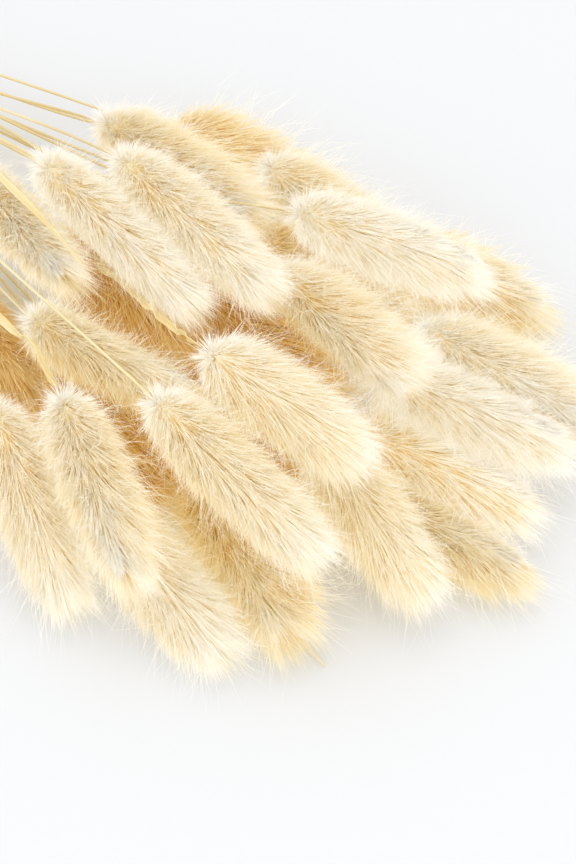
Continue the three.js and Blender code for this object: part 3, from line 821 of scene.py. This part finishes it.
def leaf_line(name):
    """Middles, flat directions and half widths of a leaf's cuts, from its tip."""
    faces = faces_of(f"stem_{name}")
    corners = faces.reshape(-1, 3)
    stem = smooth_line(STEM_LINES[name], STEM_PLACES)
    gaps = np.linalg.norm(corners[:, None] - stem, axis=2).min(axis=1)
    place, way = corners[gaps.argmax()], np.array((-1.0, 0.0, 0.0))
    middles, flats, halves = [place], [None], [LEAF_TIP_HALF]
    while True:
        ahead = place + way * LEAF_STEP
        cuts = outlines(faces, ahead, way)
        middle, _, part = min(cuts, key=lambda cut: np.linalg.norm(cut[0] - ahead))
        gap = np.linalg.norm(stem - middle, axis=1)
        if gap.min() < LEAF_ROOT_GAP or np.linalg.norm(middle - ahead) > LEAF_STEP:
            middles.append(stem[gap.argmin()])
            flats.append(flats[-1])
            halves.append(0.5 * halves[-1])
            break
        middle, flat, half = leaf_cut(part.reshape(-1, 3), middle, flats[-1])
        way = unit(middle - place)
        place = middle
        middles.append(middle)
        flats.append(flat)
        halves.append(half)
    flats[0] = flats[1]
    # Near its root a leaf is cut together with its stem.
    halves = np.minimum(halves, LEAF_WIDEST * np.median(halves))
    return np.array(middles), np.array(flats), halves


def leaf_cut(spots, middle, last_flat):
    """Middle, flat direction and half width of one cut across a leaf."""
    flat = np.linalg.svd(spots - spots.mean(axis=0))[2][0]
    if last_flat is not None and flat @ last_flat < 0:
        flat = -flat
    reach = (spots - middle) @ flat
    middle = middle + flat * (reach.max() + reach.min()) / 2
    return middle, flat, (reach.max() - reach.min()) / 2


def leaf_lie(name, random):
    """A leaf's line, the directions across and over it, and its half widths."""
    middles, flats, halves = leaf_line(name)
    even = np.linspace(0, 1, LEAF_CUTS + 1)
    gone = gone_along(middles)
    gone /= gone[-1]
    line = smooth_line(middles, LEAF_CUTS + 1)
    flat = unit(np.stack([np.interp(even, gone, flats[:, k]) for k in range(3)], axis=1))
    wave = 1 + LEAF_WAVE * np.sin(even * WAVES + random.uniform(0, 6))
    half = np.interp(even, gone, halves) * wave
    raised = unit(np.cross(flat, np.gradient(line, axis=0)))
    raised *= np.where(raised[:, 2:] < 0, -1, 1)
    twist = LEAF_TWIST * np.sin(even * TWISTS + random.uniform(0, 6))[:, None]
    across = flat * np.cos(twist) + raised * np.sin(twist)
    over = raised * np.cos(twist) - flat * np.sin(twist)
    return line, across, over, half


def lay_leaf(leaf, line, across, over, half):
    """Lay a flat grid along a line, folded down its middle and crinkled."""
    places = np.empty(len(leaf.data.vertices) * 3)
    leaf.data.vertices.foreach_get("co", places)
    places = places.reshape(-1, 3)
    cut = np.rint((places[:, 0] + 0.5) * LEAF_CUTS).astype(int)
    side = places[:, 1] * 2
    # Two waves of different length run along the edges.
    crinkle = 0.1 * np.sin(cut * 0.55 + 2 * side) + 0.14 * np.sin(cut * 0.23 + 3 * side)
    lift = (LEAF_FOLD * np.abs(side) + crinkle * np.abs(side)) * half[cut]
    shaped = line[cut] + across[cut] * (side * half[cut])[:, None] + over[cut] * lift[:, None]
    shaped[:, 2] = np.maximum(shaped[:, 2], LEAF_LOWEST)
    leaf.data.vertices.foreach_set("co", shaped.ravel())
    leaf.data.update()


def thicken(leaf):
    """Give a leaf two sides, smooth but for their edges."""
    thickness = leaf.modifiers.new("thickness", "SOLIDIFY")
    thickness.thickness = LEAF_THICKNESS
    thickness.offset = 0.0
    pick(leaf)
    bpy.ops.object.modifier_apply(modifier=thickness.name)
    bpy.ops.object.mode_set(mode="EDIT")
    bpy.ops.mesh.select_all(action="SELECT")
    bpy.ops.mesh.normals_make_consistent()
    bpy.ops.object.mode_set(mode="OBJECT")
    bpy.ops.object.shade_smooth_by_angle(angle=LEAF_SHARP)


def make_leaf(name, random):
    """A narrow dry leaf, folded along its middle, crinkled and curled at its edges."""
    lie = leaf_lie(name, random)
    bpy.ops.mesh.primitive_grid_add(x_subdivisions=LEAF_CUTS, y_subdivisions=LEAF_STRIPS, size=1.0)
    leaf = bpy.context.object
    leaf.name = f"leaf_{name}"
    lay_leaf(leaf, *lie)
    thicken(leaf)
    leaf.data.materials.append(LEAF)
    return leaf


# Stems

STEM_IN_HEAD = 6 * MM
STEM_EASING = 40  # rounds
STEM_CUTS = 72
STEM_SHARES = (0, 0.45, 1)
STEM_HALVES = (0.66, 0.46, 0.27)  # half widths at those shares of the length, in millimetres
JOINTS_FROM, JOINTS_TO = (0.12, 0.5), (0.25, 0.6)  # the shares between which each joint lies
JOINT_SWELL = 0.22
JOINT_LENGTH = 0.006  # as a share of the stem's
HOLLOW_DEPTH = 2 * MM
STRAW_WALL = 0.2 * MM
CAP_GAP = 0.02 * MM  # the cap's faces are nearer than this to the plane of the cut
WELD_GAP = 0.01 * MM


def rods(name, lines, halves, finish, roundness=2):
    """Round rods along the lines, as one piece with its own map."""
    curve = bpy.data.curves.new(name, "CURVE")
    curve.dimensions = "3D"
    for line, half in zip(lines, halves):
        spline = curve.splines.new("POLY")
        spline.points.add(len(line) - 1)
        spline.points.foreach_set("co", np.c_[line, np.ones(len(line))].ravel())
        spline.points.foreach_set("radius", half)
    curve.bevel_depth = 1.0
    curve.bevel_resolution = roundness
    curve.use_fill_caps = True
    piece = bpy.data.objects.new(name, curve)
    bpy.context.collection.objects.link(piece)
    pick(piece)
    bpy.ops.object.convert(target="MESH")
    bpy.ops.object.mode_set(mode="EDIT")
    bpy.ops.mesh.select_all(action="SELECT")
    bpy.ops.mesh.remove_doubles(threshold=WELD_GAP)
    bpy.ops.mesh.normals_make_consistent()
    bpy.ops.object.mode_set(mode="OBJECT")
    bpy.ops.object.shade_smooth()
    piece = bpy.context.object
    piece.data.materials.clear()
    piece.data.materials.append(finish)
    return piece


def hollow_end(piece, end, way):
    """Sink the cap of a cut straw, which is hollow."""
    pick(piece)
    bpy.ops.object.mode_set(mode="EDIT")
    bpy.ops.mesh.select_mode(type="FACE")
    bpy.ops.mesh.select_all(action="DESELECT")
    bpy.ops.object.mode_set(mode="OBJECT")
    for face in piece.data.polygons:
        offset = np.array(face.center) - end
        face.select = bool(abs(offset @ way) < CAP_GAP and np.linalg.norm(offset) < MM)
    bpy.ops.object.mode_set(mode="EDIT")
    bpy.ops.mesh.inset(thickness=STRAW_WALL)
    inwards = {"value": tuple(way * HOLLOW_DEPTH)}
    bpy.ops.mesh.extrude_region_move(TRANSFORM_OT_translate=inwards)
    bpy.ops.object.mode_set(mode="OBJECT")


def make_stem(name, seed):
    """A round straw that thins towards its head, with two joints and maybe a leaf."""
    random = np.random.default_rng(seed)
    line = STEM_LINES[name]
    way = unit(line[-1] - line[-2])
    line = eased(np.vstack([line, line[-1] + way * STEM_IN_HEAD]), STEM_EASING)
    line = smooth_line(line, STEM_CUTS)
    share = np.linspace(0, 1, len(line))
    half = np.interp(share, STEM_SHARES, STEM_HALVES) * MM
    for joint in random.uniform(JOINTS_FROM, JOINTS_TO):
        half *= 1 + JOINT_SWELL * np.exp(-(((share - joint) / JOINT_LENGTH) ** 2))
    piece = rods(f"straw_{name}", [line], [half], STRAW)
    hollow_end(piece, line[0], unit(line[1] - line[0]))
    if name in LEAVED:
        pick(piece, make_leaf(name, random))
        bpy.ops.object.join()
    stand_in(piece, f"stem_{name}")


HEAD_SEEDS, STEM_SEEDS, TWINE_SEED = 100, 200, 300

for number, name in enumerate(HEADS):
    make_head(name, HEAD_SEEDS + number)
    make_stem(name, STEM_SEEDS + number)


# Twine

COIL_CUTS, KNOT_CUTS, END_CUTS = 260, 90, 40
COIL_HALF = 7.11 * MM  # how far the wound twine's middle is from the tie's
COIL_TURNS = 4
COIL_PITCH = 2.1 * MM
COIL_MIDDLE = 8.01 * MM  # above the tie's lowest place
PLY_HALF = 0.47 * MM
PLY_OUT = 0.45 * MM
PLY_TWIST = 5.5 * MM  # the length over which the plies go once round each other
OFF_THE_LINE = (0.31, 0.22, 0.93)  # a direction that no part of the twine takes
KNOT_SIZE = np.array((1.35, 0.62, 0.8)) * MM
# From the knot out over the stems and down their side.
LOOSE_END = np.array([
    (1.5, 0.5, 0.0), (4.5, 4.0, 0.6), (8.0, 8.5, -1.6), (12.5, 11.5, -5.0),
]) * MM
FRAY_FROM = -3  # so that only the last quarter of a loose end comes apart
FRAY_APART, FRAY_THIN = 1.6, 0.45  # how much further out and thinner the plies get there
FIBRES = 220
FIBRE_REACH = 0.9 * MM
FIBRE_RISE = 0.2 * MM
FIBRE_HALVES = np.linspace(0.06, 0.02, 4) * MM
FIBRE_LOWEST = 0.2 * MM


def plies(line, out):
    """Three strands twisted round a line, so far out from it."""
    way = unit(np.gradient(line, axis=0))
    aside = unit(np.cross(way, OFF_THE_LINE))
    over = np.cross(way, aside)
    gone = gone_along(line)
    strands = []
    for third in range(3):
        angle = (gone / PLY_TWIST + third / 3) * WHOLE_TURN
        strands.append(
            line + (out * np.cos(angle))[:, None] * aside + (out * np.sin(angle))[:, None] * over
        )
    return strands


def coil_line():
    """Turns side by side along the stems, which start and end on top."""
    turns = np.linspace(0, COIL_TURNS, COIL_CUTS)
    return np.stack([
        (turns - COIL_TURNS / 2) * COIL_PITCH,
        COIL_HALF * np.sin(turns * WHOLE_TURN),
        COIL_HALF * np.cos(turns * WHOLE_TURN),
    ], axis=1)


def knot_line():
    """A simple overhand knot, drawn tight."""
    angles = np.linspace(0, WHOLE_TURN, KNOT_CUTS)
    return KNOT_SIZE * np.stack([
        np.sin(angles) + 2 * np.sin(2 * angles),
        np.cos(angles) - 2 * np.cos(2 * angles),
        -np.sin(3 * angles),
    ], axis=1)


def make_fibres(strands, random):
    """Short loose fibres that stand off the strands."""
    spots = np.vstack(strands)
    roots = spots[random.integers(0, len(spots), FIBRES)]
    tips = roots + random.normal(0, FIBRE_REACH, roots.shape)
    tips[:, 2] = np.maximum(tips[:, 2], FIBRE_LOWEST)
    lines = [
        smooth_line(np.array([root, (root + tip) / 2 + FIBRE_RISE, tip]), len(FIBRE_HALVES))
        for root, tip in zip(roots, tips)
    ]
    return rods("fibres", lines, [FIBRE_HALVES] * FIBRES, JUTE, roundness=0)


def make_twine(middle, seed):
    """Four turns of jute, knotted on top, with two frayed ends."""
    random = np.random.default_rng(seed)
    top = np.array((0.0, 0.0, COIL_HALF + PLY_HALF * 2))
    strands, halves = [], []
    for line in (coil_line(), top + knot_line()):
        strands += plies(middle + line, PLY_OUT)
        halves += [np.full(len(line), PLY_HALF)] * 3
    fray = np.clip(np.linspace(FRAY_FROM, 1, END_CUTS), 0, 1)
    for side in (1, -1):
        end = smooth_line(top + LOOSE_END * (side, side, 1), END_CUTS)
        strands += plies(middle + end, PLY_OUT * (1 + FRAY_APART * fray))
        halves += [PLY_HALF * (1 - FRAY_THIN * fray)] * 3
    twine = rods("twine_tie", strands, halves, JUTE, roundness=1)
    pick(twine, make_fibres(strands, random))
    bpy.ops.object.join()
    stand_in(twine, "tie")


low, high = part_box("tie")
middle_of_tie = np.array(((low[0] + high[0]) / 2, (low[1] + high[1]) / 2, low[2] + COIL_MIDDLE))
make_twine(middle_of_tie, TWINE_SEED)


# Table, light and camera

# The spot among the heads that the camera and the lamps face.
TARGET = np.array((middle_of_tie[0] + 0.19, middle_of_tie[1] + 0.004, 0.02))
TABLE_SIZE = 6.0
WORLD_COLOUR = (1.0, 0.985, 0.96, 1)
WORLD_STRENGTH = 1.13
WARM_WHITE = (1.0, 0.98, 0.95)
CREAM = (1.0, 0.95, 0.86)
LAMP_SIZE = 0.9
AZIMUTH = math.radians(47)
ELEVATION = math.radians(57)
CAMERA_AWAY = 0.48
LENS = 100  # millimetres
SENSOR = 36  # millimetres
FUR_BOUNCES = 3
FUR_LIGHT_REACH = 0.8 * MM
FUR_LIGHT = 1.1


def soft_light(name, offset, power, colour):
    """A large round lamp that faces the heads."""
    light = bpy.data.lights.new(name, "AREA")
    light.shape = "DISK"
    light.size = LAMP_SIZE
    light.energy = power
    light.color = colour
    lamp = bpy.data.objects.new(name, light)
    lamp.location = TARGET + np.array(offset)
    lamp.rotation_euler = (-Vector(offset)).to_track_quat("-Z", "Y").to_euler()
    bpy.context.collection.objects.link(lamp)


def make_world():
    """Even light from all round, and how it fades deep in the fur."""
    world = bpy.data.worlds.new("studio")
    bpy.context.scene.world = world
    world.use_nodes = True
    sky = world.node_tree.nodes["Background"].inputs
    sky["Color"].default_value = WORLD_COLOUR
    sky["Strength"].default_value = WORLD_STRENGTH
    world.light_settings.distance = FUR_LIGHT_REACH
    world.light_settings.ao_factor = FUR_LIGHT


def make_camera():
    """A long lens at the photo's viewing angle."""
    back = Vector((
        math.sin(AZIMUTH) * math.cos(ELEVATION),
        -math.cos(AZIMUTH) * math.cos(ELEVATION),
        math.sin(ELEVATION),
    ))
    camera = bpy.data.objects.new("camera", bpy.data.cameras.new("camera"))
    camera.data.lens = LENS
    camera.data.sensor_width = SENSOR
    camera.location = Vector(TARGET) + back * CAMERA_AWAY
    camera.rotation_euler = back.to_track_quat("Z", "Y").to_euler()
    bpy.context.collection.objects.link(camera)
    bpy.context.scene.camera = camera


bpy.ops.mesh.primitive_plane_add(size=TABLE_SIZE, location=(0, 0, 0))
table = bpy.context.object
table.name = "table"
table.data.materials.append(table_finish())

make_world()
soft_light("overhead", (-0.1, 0.1, 1.0), 1.8, WARM_WHITE)
soft_light("front", (0.75, -0.15, 0.55), 1.2, WARM_WHITE)
soft_light("near", (0.1, -0.85, 0.5), 1.0, CREAM)
make_camera()
bpy.context.scene.view_settings.view_transform = "Standard"
# Pale fur passes light on so often that after a few bounces it is even all round.
cycles = bpy.context.scene.cycles
cycles.diffuse_bounces = FUR_BOUNCES + 1
cycles.use_fast_gi = True
cycles.fast_gi_method = "REPLACE"
cycles.ao_bounces_render = FUR_BOUNCES

bpy.context.view_layer.update()
